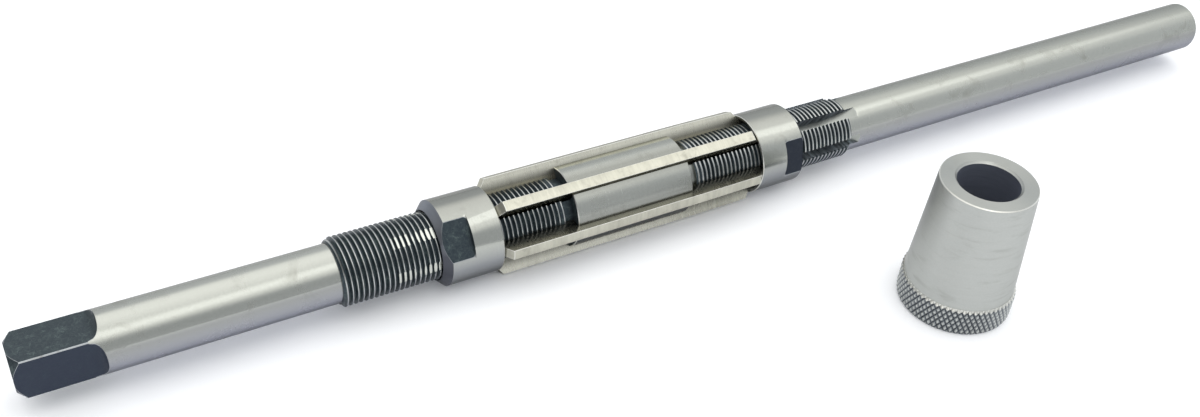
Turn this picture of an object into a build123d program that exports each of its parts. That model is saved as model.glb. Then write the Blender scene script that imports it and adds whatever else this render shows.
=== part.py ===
from build123d import *
from math import asin, atan, cos, pi, radians, sin, tan
import os

# Adjustable hand reamer with a long pilot and its taper guide bush.
# Millimetres. X runs along the tool from the centre of the driving end face to the pilot,
# Z is up, and the tool lies on two of its six blades.

# Driving square and shank
shank_diameter = 12.0
shank_length = 58.2
square_across_flats = 8.7
square_length = 15.4
square_runout_radius = 2.5
shank_end_chamfer = 1.5

# Threaded stretches, the plain middle between them and the pilot
thread_diameter = 14.0
thread_end_chamfer = 0.7
shank_thread_length = 47.4
pilot_thread_length = 42.8
relief_groove_diameter = 12.6
relief_groove_width = 2.1
middle_diameter = 17.3
middle_length = 27.7
middle_edge_chamfer = 0.15
pilot_diameter = 12.4
pilot_length = 118.8
pilot_end_chamfer = 0.6

# Centre holes that the tool is ground between
centre_hole_diameter = 4.0
centre_drill_diameter = 1.6
centre_drill_depth = 4.5
centre_cone_half_angle = 30.0

# Slots: the floors sink by one in slot_run towards the pilot and end in the cutter's arc
blade_count = 6
slot_run = 26.0
slot_lead_in = 12.7
slot_stop_before_pilot = 13.5
slot_cutter_radius = 50.0
slot_side_clearance = 0.05
slot_floor_clearance = 0.05

# Blades, as set in the middle of their range
cutting_diameter = 20.4
blade_thickness = 2.25
land_length = 60.0
land_overhang = 15.4
blade_bevel_angle = 55.0
blade_root_radius = 6.9
lead_taper_length = 14.0
lead_taper_drop = 0.25
land_relief_width = 1.3
land_relief_drop = 0.12

# Nuts: a hollow cone in the inner end holds the bevels of all six blades
nut_diameter = 17.8
nut_thread_clearance = 0.05
nut_rim_width = 0.6
nut_seat_clearance = 0.12
nut_bore_chamfer = 0.25
nut_inner_edge_chamfer = 0.15
shank_nut_length = 12.7
shank_nut_chamfer = 1.5
shank_nut_flat_length = 6.4
shank_nut_flat_angle = 143.0
pilot_nut_length = 11.4
pilot_nut_chamfer = 0.4
pilot_nut_flat_length = 5.0
pilot_nut_flat_angle = 167.0
spanner_flat_depth = 1.04

# Guide bush: it stands beside the reamer on its knurled end
bush_height = 30.4
bush_top_diameter = 19.5
bush_neck_diameter = 22.5
bush_knurl_diameter = 23.6
bush_knurl_height = 6.3
bush_knurl_chamfer = 0.5
bush_bore_chamfer = 0.45
bush_edge_chamfer = 0.2
bush_running_clearance = 0.05
bush_x = 174.3
bush_y = -50.7

# Stations along the tool
shank_thread_start = shank_length
shank_thread_end = shank_thread_start + shank_thread_length
middle_start = shank_thread_end + relief_groove_width
middle_end = middle_start + middle_length
pilot_thread_start = middle_end + relief_groove_width
pilot_thread_end = pilot_thread_start + pilot_thread_length
pilot_end = pilot_thread_end + pilot_length
slot_start = shank_thread_start + slot_lead_in
slot_floor_end = pilot_thread_end - slot_stop_before_pilot
land_start = middle_start - land_overhang
land_end = land_start + land_length

# Radii
shank_radius = shank_diameter / 2
thread_radius = thread_diameter / 2
groove_radius = relief_groove_diameter / 2
middle_radius = middle_diameter / 2
pilot_radius = pilot_diameter / 2
cutting_radius = cutting_diameter / 2
nut_radius = nut_diameter / 2
clear_radius = cutting_radius * 2

slot_slope = 1 / slot_run
bevel_slope = tan(radians(blade_bevel_angle))


def slot_floor(x):
    """Radius of the straight slot floor at a station."""
    return thread_radius - (x - slot_start) * slot_slope


def radial_plane(angle):
    """Sketch plane through the axis: X along the tool, Y outwards at the angle."""
    leading = (0, -sin(radians(angle)), cos(radians(angle)))
    return Plane(origin=(0, 0, 0), x_dir=(1, 0, 0), z_dir=leading)


def blade_angles():
    """Angles of the blades and slots about the axis, counted from +Y towards +Z."""
    return [360 / blade_count * number for number in range(blade_count)]


# Reamer body: square, shank, threads, slotted middle and pilot in one piece
centre_cone_depth = (centre_hole_diameter - centre_drill_diameter) / 2 / tan(radians(centre_cone_half_angle))
slot_half_width = blade_thickness / 2 + slot_side_clearance
arc_angle = atan(slot_slope)
arc_centre_x = slot_floor_end + slot_cutter_radius * sin(arc_angle)
arc_centre_y = slot_floor(slot_floor_end) + slot_cutter_radius * cos(arc_angle)
arc_end_angle = asin((arc_centre_y - clear_radius) / slot_cutter_radius)
arc_end_x = arc_centre_x + slot_cutter_radius * cos(arc_end_angle)

with BuildPart() as reamer_body:
    with BuildSketch(Plane.XZ):
        with BuildLine():
            Polyline(
                (0, 0),
                (0, shank_radius - shank_end_chamfer),
                (shank_end_chamfer, shank_radius),
                (shank_thread_start, shank_radius),
                (shank_thread_start, thread_radius - thread_end_chamfer),
                (shank_thread_start + thread_end_chamfer, thread_radius),
                (shank_thread_end, thread_radius),
                (shank_thread_end, groove_radius),
                (middle_start, groove_radius),
                (middle_start, middle_radius - middle_edge_chamfer),
                (middle_start + middle_edge_chamfer, middle_radius),
                (middle_end - middle_edge_chamfer, middle_radius),
                (middle_end, middle_radius - middle_edge_chamfer),
                (middle_end, groove_radius),
                (pilot_thread_start, groove_radius),
                (pilot_thread_start, thread_radius),
                (pilot_thread_end - thread_end_chamfer, thread_radius),
                (pilot_thread_end, thread_radius - thread_end_chamfer),
                (pilot_thread_end, pilot_radius),
                (pilot_end - pilot_end_chamfer, pilot_radius),
                (pilot_end, pilot_radius - pilot_end_chamfer),
                (pilot_end, 0),
                close=True,
            )
        make_face()
    revolve(axis=Axis.X)

    # Four flats of the square, each running out in a rounded step
    for flat_angle in (0, 90, 180, 270):
        with BuildSketch(radial_plane(flat_angle)) as flat_cut:
            with Locations((-shank_end_chamfer, square_across_flats / 2)):
                Rectangle(square_length + shank_end_chamfer, clear_radius, align=(Align.MIN, Align.MIN))
            fillet(flat_cut.vertices().group_by(Axis.X)[-1], square_runout_radius)
        extrude(amount=shank_diameter, both=True, mode=Mode.SUBTRACT)

    # Six slots with sinking floors, ending in the arc of the milling cutter
    for angle in blade_angles():
        with BuildSketch(radial_plane(angle)):
            with BuildLine():
                slot_top = Line((arc_end_x, clear_radius), (slot_start, clear_radius))
                slot_wall = Line(slot_top @ 1, (slot_start, thread_radius))
                floor = Line(slot_wall @ 1, (slot_floor_end, slot_floor(slot_floor_end)))
                TangentArc(floor @ 1, slot_top @ 0, tangent=floor % 1)
            make_face()
        extrude(amount=slot_half_width, both=True, mode=Mode.SUBTRACT)

    # Centre holes in both ends
    for end, inwards in ((0, 1), (pilot_end, -1)):
        with BuildSketch(Plane.XZ):
            with BuildLine():
                Polyline(
                    (end, 0),
                    (end, centre_hole_diameter / 2),
                    (end + inwards * centre_cone_depth, centre_drill_diameter / 2),
                    (end + inwards * centre_drill_depth, centre_drill_diameter / 2),
                    (end + inwards * centre_drill_depth, 0),
                    close=True,
                )
            make_face()
        revolve(axis=Axis.X, mode=Mode.SUBTRACT)
reamer_body.part.label = "reamer_body"

# Blades: straight on top, tapered below like the slot floors, bevelled at both ends
bevel_depth = (cutting_radius - blade_root_radius) / bevel_slope
blade_start = land_start - bevel_depth
blade_end = land_end + bevel_depth
underside_lift = slot_floor_clearance / cos(arc_angle)
trailing_side = -blade_thickness / 2

blades = []
for number, angle in enumerate(blade_angles(), start=1):
    section_plane = Plane(origin=(0, 0, 0), x_dir=radial_plane(angle).z_dir, z_dir=(-1, 0, 0))
    with BuildPart() as blade:
        with BuildSketch(radial_plane(angle)):
            with BuildLine():
                Polyline(
                    (blade_start, slot_floor(blade_start) + underside_lift),
                    (blade_start, blade_root_radius),
                    (land_start, cutting_radius),
                    (land_end - lead_taper_length, cutting_radius),
                    (land_end + lead_taper_drop / bevel_slope, cutting_radius - lead_taper_drop),
                    (blade_end, blade_root_radius),
                    (blade_end, slot_floor(blade_end) + underside_lift),
                    close=True,
                )
            make_face()
        extrude(amount=blade_thickness / 2, both=True)

        # The land is ground round about the axis of the tool
        with BuildSketch(Plane.YZ):
            Circle(cutting_radius)
        extrude(amount=blade_end, mode=Mode.INTERSECT)

        # Relief behind the cutting edge
        with BuildSketch(section_plane):
            with BuildLine():
                Polyline(
                    (trailing_side + land_relief_width, cutting_radius),
                    (trailing_side, cutting_radius - land_relief_drop),
                    (trailing_side, cutting_radius + land_relief_drop),
                    close=True,
                )
            make_face()
        extrude(amount=-blade_end, mode=Mode.SUBTRACT)
    blade.part.label = f"blade_{number}"
    blades.append(blade)

# Nuts
nut_bore_radius = thread_radius + nut_thread_clearance
nut_mouth_radius = nut_radius - nut_rim_width
nut_seat_depth = (nut_mouth_radius - nut_bore_radius) / bevel_slope
nut_seat_offset = (cutting_radius - nut_mouth_radius) / bevel_slope + nut_seat_clearance
spanner_flat_radius = nut_radius - spanner_flat_depth


def make_nut(face, outwards, length, chamfer_size, flat_length, flat_angle, name):
    """Round nut with a hollow seat in its inner face and two opposite spanner flats."""
    back = face + outwards * length
    with BuildPart() as nut:
        with BuildSketch(Plane.XZ):
            with BuildLine():
                Polyline(
                    (face, nut_mouth_radius),
                    (face, nut_radius - nut_inner_edge_chamfer),
                    (face + outwards * nut_inner_edge_chamfer, nut_radius),
                    (back - outwards * chamfer_size, nut_radius),
                    (back, nut_radius - chamfer_size),
                    (back, nut_bore_radius + nut_bore_chamfer),
                    (back - outwards * nut_bore_chamfer, nut_bore_radius),
                    (face + outwards * nut_seat_depth, nut_bore_radius),
                    close=True,
                )
            make_face()
        revolve(axis=Axis.X)
        for turn in (0, 180):
            with BuildSketch(radial_plane(flat_angle + turn)) as flat_cut:
                with Locations((back - outwards * flat_length / 2, spanner_flat_radius)):
                    Rectangle(flat_length, nut_radius, align=(Align.CENTER, Align.MIN))
            extrude(amount=nut_radius, both=True, mode=Mode.SUBTRACT)
    nut.part.label = name
    return nut


shank_nut = make_nut(
    land_start - nut_seat_offset,
    -1,
    shank_nut_length,
    shank_nut_chamfer,
    shank_nut_flat_length,
    shank_nut_flat_angle,
    "shank_nut",
)
pilot_nut = make_nut(
    land_end + nut_seat_offset,
    1,
    pilot_nut_length,
    pilot_nut_chamfer,
    pilot_nut_flat_length,
    pilot_nut_flat_angle,
    "pilot_nut",
)

# Guide bush: its foot is level with the lowest blade corners
blade_half_angle = asin(blade_thickness / 2 / cutting_radius)
rest_height = cutting_radius * cos(pi / blade_count - blade_half_angle)
bush_bore_radius = pilot_radius + bush_running_clearance
bush_plane = Plane(origin=(bush_x, bush_y, -rest_height), x_dir=(1, 0, 0), z_dir=(0, -1, 0))

with BuildPart() as guide_bush:
    with BuildSketch(bush_plane):
        with BuildLine():
            Polyline(
                (bush_bore_radius + bush_bore_chamfer, 0),
                (bush_knurl_diameter / 2 - bush_knurl_chamfer, 0),
                (bush_knurl_diameter / 2, bush_knurl_chamfer),
                (bush_knurl_diameter / 2, bush_knurl_height - bush_knurl_chamfer),
                (bush_neck_diameter / 2, bush_knurl_height),
                (bush_top_diameter / 2, bush_height - bush_edge_chamfer),
                (bush_top_diameter / 2 - bush_edge_chamfer, bush_height),
                (bush_bore_radius + bush_bore_chamfer, bush_height),
                (bush_bore_radius, bush_height - bush_bore_chamfer),
                (bush_bore_radius, bush_bore_chamfer),
                close=True,
            )
        make_face()
    revolve(axis=Axis((bush_x, bush_y, 0), (0, 0, 1)))
guide_bush.part.label = "guide_bush"

# Written pieces
os.makedirs("parts", exist_ok=True)
export_step(reamer_body.part, "parts/reamer_body.step")
for blade in blades:
    export_step(blade.part, f"parts/{blade.part.label}.step")
export_step(shank_nut.part, "parts/shank_nut.step")
export_step(pilot_nut.part, "parts/pilot_nut.step")
export_step(guide_bush.part, "parts/guide_bush.step")
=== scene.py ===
from math import acos, asin, atan, ceil, cos, pi, radians, sin, sqrt, tan

import bmesh
import bpy
import numpy as np
from bpy.props import FloatProperty, FloatVectorProperty, IntProperty, PointerProperty
from mathutils import Matrix, Vector


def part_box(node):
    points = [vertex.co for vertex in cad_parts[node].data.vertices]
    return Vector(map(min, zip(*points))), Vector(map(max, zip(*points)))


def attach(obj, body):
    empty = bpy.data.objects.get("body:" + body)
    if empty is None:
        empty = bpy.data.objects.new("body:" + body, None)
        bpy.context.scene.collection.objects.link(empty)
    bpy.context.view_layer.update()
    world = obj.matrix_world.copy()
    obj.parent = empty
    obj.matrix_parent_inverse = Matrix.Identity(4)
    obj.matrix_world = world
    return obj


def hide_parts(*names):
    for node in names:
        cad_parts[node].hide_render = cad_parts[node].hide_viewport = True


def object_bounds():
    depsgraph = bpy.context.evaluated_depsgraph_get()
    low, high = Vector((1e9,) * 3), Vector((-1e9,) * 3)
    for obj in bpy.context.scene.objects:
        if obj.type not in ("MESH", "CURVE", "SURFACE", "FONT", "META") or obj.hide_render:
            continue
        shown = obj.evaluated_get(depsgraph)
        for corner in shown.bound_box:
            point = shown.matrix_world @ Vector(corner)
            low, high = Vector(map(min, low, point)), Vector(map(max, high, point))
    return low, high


bl_info = {
    "name": "Adjustable hand reamer",
    "version": (1, 0, 0),
    "blender": (4, 5, 0),
    "location": "View3D > Sidebar > Reamer",
    "description": "Builds an adjustable hand reamer with its guide bush around the fixed frame",
    "category": "Object",
}

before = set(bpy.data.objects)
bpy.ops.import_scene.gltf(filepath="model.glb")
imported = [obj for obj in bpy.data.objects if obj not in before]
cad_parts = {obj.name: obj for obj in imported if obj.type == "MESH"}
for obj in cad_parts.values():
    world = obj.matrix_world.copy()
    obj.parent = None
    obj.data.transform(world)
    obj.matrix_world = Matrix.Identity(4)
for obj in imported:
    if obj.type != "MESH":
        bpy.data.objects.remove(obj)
CAD_BOX = [list(corner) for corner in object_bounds()]
MM = 0.001
BLADES = 6
TOOL_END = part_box("reamer_body")[1].x
BUSH_LOW, BUSH_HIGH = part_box("guide_bush")
BUSH_FOOT = ((BUSH_LOW.x + BUSH_HIGH.x) / 2, (BUSH_LOW.y + BUSH_HIGH.y) / 2, BUSH_LOW.z)
BUSH_RADIUS = (BUSH_HIGH - BUSH_LOW).x / 2
BUSH_HEIGHT = (BUSH_HIGH - BUSH_LOW).z


def thickness_of(node):
    """Height of a node of the frame, in millimetres."""
    low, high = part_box(node)
    return (high - low).z / MM


# Settings

def length(name, millimetres, description):
    """A size, given in millimetres."""
    return FloatProperty(
        name=name, description=description, default=millimetres * MM, min=0.0, unit="LENGTH", precision=6)


def angle(name, degrees, description):
    """An angle, given in degrees."""
    return FloatProperty(name=name, description=description, default=radians(degrees), unit="ROTATION")


def number(name, value, description):
    """A plain number."""
    return FloatProperty(name=name, description=description, default=value)


def factor(name, value, description, highest=1.0):
    """A number from 0 to its highest value."""
    return FloatProperty(
        name=name, description=description, default=value, min=0.0, max=highest, subtype="FACTOR")


def colour(name, value, description):
    """A linear colour."""
    return FloatVectorProperty(
        name=name, description=description, default=value, min=0.0, max=1.0, subtype="COLOR")


def direction(name, value, description):
    """A direction in space."""
    return FloatVectorProperty(
        name=name, description=description, default=value, subtype="DIRECTION", precision=5)


class ShankSizes(bpy.types.PropertyGroup):
    """Driving square and plain shank."""
    radius: length("Radius", 6.0, "Radius of the plain shank")
    end: length("End", 58.2, "Where the shank meets the thread")
    flat_height: length("Flat height", 4.35, "Distance from the axis to a flat of the square")
    flat_length: length("Flat length", 12.9, "Level stretch of the flats")
    runout_radius: length("Run-out radius", 2.5, "Radius of the step that ends each flat")
    chamfer: length("Chamfer", 1.5, "Chamfer of the driving end")
    rim: length("Worn rim", 0.11, "Bright line along the edges of the flats")
    centre_radius: length("Centre radius", 2.0, "Mouth of the centre hole")
    centre_drill_radius: length("Drill radius", 0.8, "Pilot drill of the centre hole")
    centre_drill_depth: length("Drill depth", 4.5, "Depth of the centre hole")


class BodySizes(bpy.types.PropertyGroup):
    """Threaded stretches, plain middle, slots and pilot."""
    thread_radius: length("Thread radius", 7.0, "Radius over the thread crests")
    thread_pitch: length("Thread pitch", 25.4 / 24, "Pitch of both threads")
    thread_depth: length("Thread depth", 0.61, "Depth of the thread")
    shank_crest: factor("Shank crests", 0.10, "Share of the pitch that a crest takes on the shank side")
    pilot_crest: factor("Pilot crests", 0.24, "Share of the pitch that a crest takes on the pilot side")
    crest_shoulder: factor("Crest shoulders", 0.05, "Share of the pitch that each rounded shoulder takes")
    thread_runout: length("Thread run-out", 2.4, "Length over which a thread fades towards its groove")
    thread_chamfer: length("Thread chamfer", 0.7, "Chamfer at the outer ends of the threads")
    shank_thread_end: length("Shank thread end", 105.6, "Where the shank-side thread ends")
    groove_radius: length("Groove radius", 6.3, "Radius of the relief grooves")
    middle_start: length("Middle start", 107.7, "Start of the plain middle")
    middle_end: length("Middle end", 135.4, "End of the plain middle")
    middle_radius: length("Middle radius", 8.65, "Radius of the plain middle")
    middle_chamfer: length("Middle chamfer", 0.15, "Broken edges of the plain middle")
    pilot_thread_start: length("Pilot thread start", 137.5, "Where the pilot-side thread starts")
    pilot_thread_end: length("Pilot thread end", 180.3, "Where the pilot-side thread ends")
    pilot_radius: length("Pilot radius", 6.2, "Radius of the pilot")
    pilot_chamfer: length("Pilot chamfer", 0.6, "Chamfer at the end of the pilot")
    slot_start: length("Slot start", 70.9, "Where the slot floors leave the thread crests")
    polish_length: length("Polished crests", 1.7, "How far before its floor a slot brushes the crests")
    burr: factor("Slot burrs", 0.10, "Share of the pitch by which brushed crests widen at a slot")
    widest: factor("Widest burr", 0.26, "Share of the pitch by which a crest may widen at a slot")
    slot_floor_end: length("Slot floor end", 173.8, "Where the straight slot floors end")
    slot_run: number("Slot run", 26.0, "Length over which a slot floor sinks by one")
    slot_half_width: length("Slot half width", 1.175, "Half the width of a slot")
    slot_cutter_radius: length("Slot cutter radius", 14.0, "Radius of the milling cutter at the slot ends")


class BladeSizes(bpy.types.PropertyGroup):
    """Six tapered blades."""
    thickness: length("Thickness", thickness_of("blade_1"), "Thickness of a blade")
    cutting_radius: length("Cutting radius", 10.2, "Radius over the blades")
    land_start: length("Land start", 92.3, "Where the full height starts")
    land_end: length("Land end", 152.3, "Where the pilot-side bevel starts")
    bevel_angle: angle("Bevel angle", 55.0, "Slope of the bevelled ends against the axis")
    root_radius: length("Root radius", 6.9, "Where the bevels end below")
    taper_length: length("Lead length", 14.0, "Length of the slender lead at the pilot side")
    taper_drop: length("Lead drop", 0.25, "What the lead loses in height")
    relief_width: length("Relief width", 1.3, "Width of the relief behind the cutting edge")
    relief_drop: length("Relief drop", 0.12, "What the relief loses in height")
    floor_clearance: length("Floor clearance", 0.05, "Gap between a blade and its slot floor")
    edge_break: length("Edge break", 0.08, "Stoned edges")


class NutSizes(bpy.types.PropertyGroup):
    """Both nuts."""
    radius: length("Radius", thickness_of("shank_nut") / 2, "Outer radius")
    bore_radius: length("Bore radius", 7.05, "Radius of the threaded bore")
    mouth_radius: length("Mouth radius", 8.3, "Wide end of the conical seat")
    seat_depth: length("Seat depth", 0.875, "Depth of the conical seat")
    bore_chamfer: length("Bore chamfer", 0.25, "Chamfer of the bore at the outer face")
    inner_chamfer: length("Inner chamfer", 0.15, "Broken edge round the seat")
    flat_radius: length("Flat radius", 7.86, "Distance from the axis to a spanner flat")
    shank_chamfer: length("Shank nut chamfer", 1.5, "Outer chamfer of the shank nut")
    shank_flat_length: length("Shank nut flats", 6.4, "Length of the shank nut's flats")
    shank_flat_angle: angle("Shank nut flat angle", 143.0, "Where its flats lie about the axis")
    pilot_chamfer: length("Pilot nut chamfer", 0.4, "Outer chamfer of the pilot nut")
    pilot_flat_length: length("Pilot nut flats", 5.0, "Length of the pilot nut's flats")
    pilot_flat_angle: angle("Pilot nut flat angle", 167.0, "Where its flats lie about the axis")
    corner_radius: length("Flat corners", 0.7, "Rounding of the flats' inner corners")
    rim: length("Worn rim", 0.12, "Bright line along the edges of the flats")
    edge_break: length("Edge break", 0.07, "Softened edges")


class BushSizes(bpy.types.PropertyGroup):
    """Guide bush with a knurled foot."""
    bore_radius: length("Bore radius", 6.25, "Radius of the bore")
    bore_chamfer: length("Bore chamfer", 0.45, "Chamfer of the bore")
    top_radius: length("Top radius", 9.75, "Radius of the small end")
    edge_chamfer: length("Top edge", 0.2, "Broken edge of the small end")
    neck_radius: length("Neck radius", 11.25, "Radius of the taper above the knurl")
    knurl_height: length("Knurl height", 6.3, "Height of the knurled foot")
    knurl_chamfer: length("Knurl chamfer", 0.5, "Chamfer at both ends of the knurl")
    knurl_depth: length("Knurl depth", 0.4, "Depth of the knurl grooves")
    knurl_count: IntProperty(name="Knurl grooves", description="Grooves of each hand", default=64)
    knurl_angle: angle("Knurl angle", 30.0, "Slope of the knurl grooves against the axis")


class FinishColours(bpy.types.PropertyGroup):
    """Colours and polish of the finishes."""
    ground_steel: colour("Ground steel", (0.412, 0.423, 0.393), "Satin steel of shank, pilot and nuts")
    crest_steel: colour("Thread crests", (0.45, 0.465, 0.46), "Bright crests of the threads")
    land_steel: colour("Blade lands", (0.482, 0.474, 0.406), "Warm steel of the blades' lands and bevels")
    side_steel: colour("Blade sides", (0.76, 0.74, 0.63), "Pale steel of the blades' sides")
    bush_steel: colour("Bush steel", (0.455, 0.468, 0.45), "Turned steel of the bush")
    slot_steel: colour("Slot steel", (0.345, 0.36, 0.34), "Milled steel on the slot floors")
    wall_steel: colour("Slot walls", (0.29, 0.32, 0.35), "Rough steel on the slot walls")
    # The darker tint is painted shade on the chamfers.
    shade_steel: colour("Turned shade", (0.24, 0.255, 0.285), "Darker turned steel of the nuts' chamfers")
    edge_steel: colour("Broken edges", (0.66, 0.66, 0.62), "Bright narrow edges")
    black_finish: colour("Black finish", (0.009, 0.013, 0.018), "Black of the faces that weren't ground")
    blued_finish: colour("Blued finish", (0.007, 0.009, 0.018), "Even dark blue of the pilot nut's flats")
    # A lit copy of the black finish: painted light on two flats.
    lit_square_finish: colour("Square finish", (0.019, 0.023, 0.042), "Lighter blue of two flats of the square")
    bore_finish: colour("Bore finish", (0.22, 0.24, 0.30), "Dark bore of the bush and of the centre holes")
    edge_tint: factor("Edge tint", 0.5, "What steel keeps of its shine at a glancing angle")
    polish: factor("Roughness", 0.26, "Roughness of the ground steel")


class StageSettings(bpy.types.PropertyGroup):
    """Floor, light and camera."""
    floor_colour: colour("Floor", (0.965, 0.972, 1.0), "Colour of the floor")
    floor_glow: colour("Floor glow", (0.94, 0.97, 1.0), "Tint of the white that the floor adds")
    floor_lift: factor("Floor lift", 0.06, "White that the floor adds to what is seen of it")
    mirror_lift: factor("Mirrored lift", 0.6, "Share of the lift that reflections see")
    side_light: colour("Side light", (0.62, 0.64, 0.66), "Light that comes in from the sides")
    right_gain: factor("Right gain", 0.9, "How much brighter the side light is towards the pilot")
    back_gain: factor("Back gain", 0.35, "How much brighter the side light is behind the tool")
    top_light: colour("Top light", (0.94, 0.94, 0.92), "Light from above, before its level")
    top_level: factor("Top level", 1.70, "Level of the light from above", 3.0)
    top_start: factor("Top start", 0.50, "Sine of the height where the light from above starts")
    top_full: factor("Top full", 0.78, "Sine of the height where it is full")
    strip_power: number("Strip power", 1.35, "Power of the long soft box in watts")
    strip_colour: colour("Strip colour", (1.0, 1.0, 0.98), "Colour of the long soft box")
    strip_length: length("Strip length", 2200.0, "Length of the long soft box")
    strip_width: length("Strip width", 320.0, "Width of the long soft box")
    strip_start: length("Strip start", 150.0, "Station on the axis where the strip angle holds")
    strip_end: length("Strip end", 810.0, "Station where the far strip angle holds")
    strip_angle: angle("Strip angle", 117.0, "Where the soft box hangs about the axis beside the shank")
    far_strip_angle: angle("Far strip angle", 100.0, "Where it hangs beyond the pilot")
    lens: number("Lens", 38.48, "Focal length in millimetres")
    sensor: number("Sensor", 36.0, "Width of the picture sensor in millimetres")
    camera_right: direction("Camera right", (0.86601, -0.49481, 0.07205), "Way to the picture's right")
    camera_up: direction("Camera up", (0.25789, 0.56544, 0.78343), "Way to the picture's top")
    camera_place: FloatVectorProperty(
        name="Camera place", description="Where the camera stands", subtype="TRANSLATION", unit="LENGTH",
        default=(0.00055, -0.18074, 0.16526), precision=5)


# Node helpers

def feed(tree, node, inputs):
    """Gives sockets, by name or number, their values or other nodes' outputs."""
    for key, value in inputs.items():
        if isinstance(value, bpy.types.NodeSocket):
            tree.links.new(value, node.inputs[key])
        else:
            node.inputs[key].default_value = value


def put(tree, kind, inputs=(), **settings):
    """Adds a node with its settings and inputs."""
    made = tree.nodes.new(kind)
    for key, value in settings.items():
        setattr(made, key, value)
    feed(tree, made, dict(inputs))
    return made


def calc(tree, operation, first, second=0.0, clamp=False):
    """One arithmetic step, returned as its output."""
    inputs = {0: first, 1: second}
    return put(tree, "ShaderNodeMath", inputs, operation=operation, use_clamp=clamp).outputs[0]


def vector_math(tree, operation, first, second):
    """One step with places or directions."""
    return put(tree, "ShaderNodeVectorMath", {0: first, 1: second}, operation=operation).outputs[0]


def split(tree, place):
    """The X, Y and Z of a place."""
    return put(tree, "ShaderNodeSeparateXYZ", {0: place}).outputs


def noise(tree, place, **inputs):
    """A cloudy pattern from 0 to 1."""
    return put(tree, "ShaderNodeTexNoise", {"Vector": place, **inputs}).outputs[0]


def remap(tree, value, low, high, out_low=0.0, out_high=1.0):
    """Spreads a range of values over another, held within it."""
    inputs = {0: value, 1: low, 2: high, 3: out_low, 4: out_high}
    return put(tree, "ShaderNodeMapRange", inputs).outputs[0]


def toned(tint, level):
    """A colour made darker or lighter."""
    return tuple(part * level for part in tint)


def opaque(tint):
    """A colour with its alpha; an output stays as it is."""
    return tint if isinstance(tint, bpy.types.NodeSocket) else (*tint, 1.0)


def blend_colours(tree, amount, first, second):
    """Two colours mixed by an amount."""
    inputs = {0: amount, 6: opaque(first), 7: opaque(second)}
    return put(tree, "ShaderNodeMix", inputs, data_type="RGBA").outputs[2]


def bump(tree, height, strength, depth=0.03 * MM):
    """Relief of the surface, as its normal."""
    inputs = {"Height": height, "Strength": strength, "Distance": depth}
    return put(tree, "ShaderNodeBump", inputs).outputs[0]


# Effects that finishes share

def tool_marks(tree, given):
    """Fine lines, stretched by their number per metre along each axis."""
    place = vector_math(tree, "MULTIPLY", given["Place"], given["Marks per metre"])
    coarse = noise(tree, place, Scale=0.35, Detail=2.0)
    fine = noise(tree, place, Scale=1.0, Detail=4.0, Roughness=0.7)
    both = calc(tree, "ADD", calc(tree, "MULTIPLY", coarse, 0.4), calc(tree, "MULTIPLY", fine, 0.6))
    centred = calc(tree, "MULTIPLY", calc(tree, "SUBTRACT", both, 0.5), given["Contrast"])
    return calc(tree, "ADD", centred, 0.5, clamp=True)


def handling_stains(tree, given):
    """Clouds of stains that cover a share of the surface."""
    scale = calc(tree, "DIVIDE", 1.0, given["Size"])
    cloud = noise(tree, given["Place"], Scale=scale, Detail=5.0, Roughness=0.62, Distortion=0.6)
    low = calc(tree, "SUBTRACT", 0.68, calc(tree, "MULTIPLY", given["Cover"], 0.3))
    return calc(tree, "MULTIPLY", calc(tree, "SUBTRACT", cloud, low), 6.0, clamp=True)


def mottle(tree, given):
    """Grain of small cells."""
    place, scale = given["Place"], calc(tree, "DIVIDE", 1.0, given["Size"])
    cells = put(tree, "ShaderNodeTexVoronoi", {"Vector": place, "Scale": scale}).outputs["Distance"]
    grain = noise(tree, place, Scale=scale, Detail=6.0, Roughness=0.75)
    both = calc(tree, "ADD", calc(tree, "MULTIPLY", cells, 0.45), calc(tree, "MULTIPLY", grain, 0.65))
    return remap(tree, both, 0.35, 0.75)


def root_shade(tree, given):
    """Share of a blade's side free of the painted shade at its root, by distance from the axis."""
    sizes = bpy.context.scene.blade_sizes
    margin = 0.8 * MM
    across = vector_math(tree, "MULTIPLY", given["Place"], (0.0, 1.0, 1.0))
    radius = put(tree, "ShaderNodeVectorMath", {0: across}, operation="LENGTH").outputs["Value"]
    return remap(tree, radius, sizes.root_radius + margin, sizes.cutting_radius - margin)


def flute_shade(tree, given):
    """Share of the surface free of the painted shade between the blades, as shares of the way from one to
    the next; the shade lies just after each blade and before the next.
    """
    place = split(tree, given["Place"])
    turns = calc(tree, "MULTIPLY", calc(tree, "ARCTAN2", place["Z"], place["Y"]), BLADES / (2 * pi))
    share = calc(tree, "FRACT", turns)
    after_blade = remap(tree, share, 0.12, 0.30, 0.1, 1.0)
    before_next = remap(tree, share, 0.55, 0.72, 1.0, 0.0)
    return calc(tree, "MINIMUM", after_blade, before_next)


GROUPS = {
    "Tool marks": (tool_marks, "Marks", {"Marks per metre": (1.0, 1.0, 1.0), "Contrast": 1.0}),
    "Handling stains": (handling_stains, "Stain", {"Size": 6.0 * MM, "Cover": 0.3}),
    "Mottle": (mottle, "Mottle", {"Size": 0.5 * MM}),
    "Root shade": (root_shade, "Unshaded", {}),
    "Flute shade": (flute_shade, "Unshaded", {}),
}


def make_group(name):
    """Builds a shared group, which turns a place on the object into one mask."""
    build, output, defaults = GROUPS[name]
    group = bpy.data.node_groups.new(name, "ShaderNodeTree")
    group.interface.new_socket("Place", in_out="INPUT", socket_type="NodeSocketVector")
    for label, default in defaults.items():
        kind = "NodeSocketFloat" if isinstance(default, float) else "NodeSocketVector"
        group.interface.new_socket(label, in_out="INPUT", socket_type=kind).default_value = default
    group.interface.new_socket(output, in_out="OUTPUT", socket_type="NodeSocketFloat")
    mask = build(group, group.nodes.new("NodeGroupInput").outputs)
    group.links.new(mask, group.nodes.new("NodeGroupOutput").inputs[output])
    return group


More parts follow.
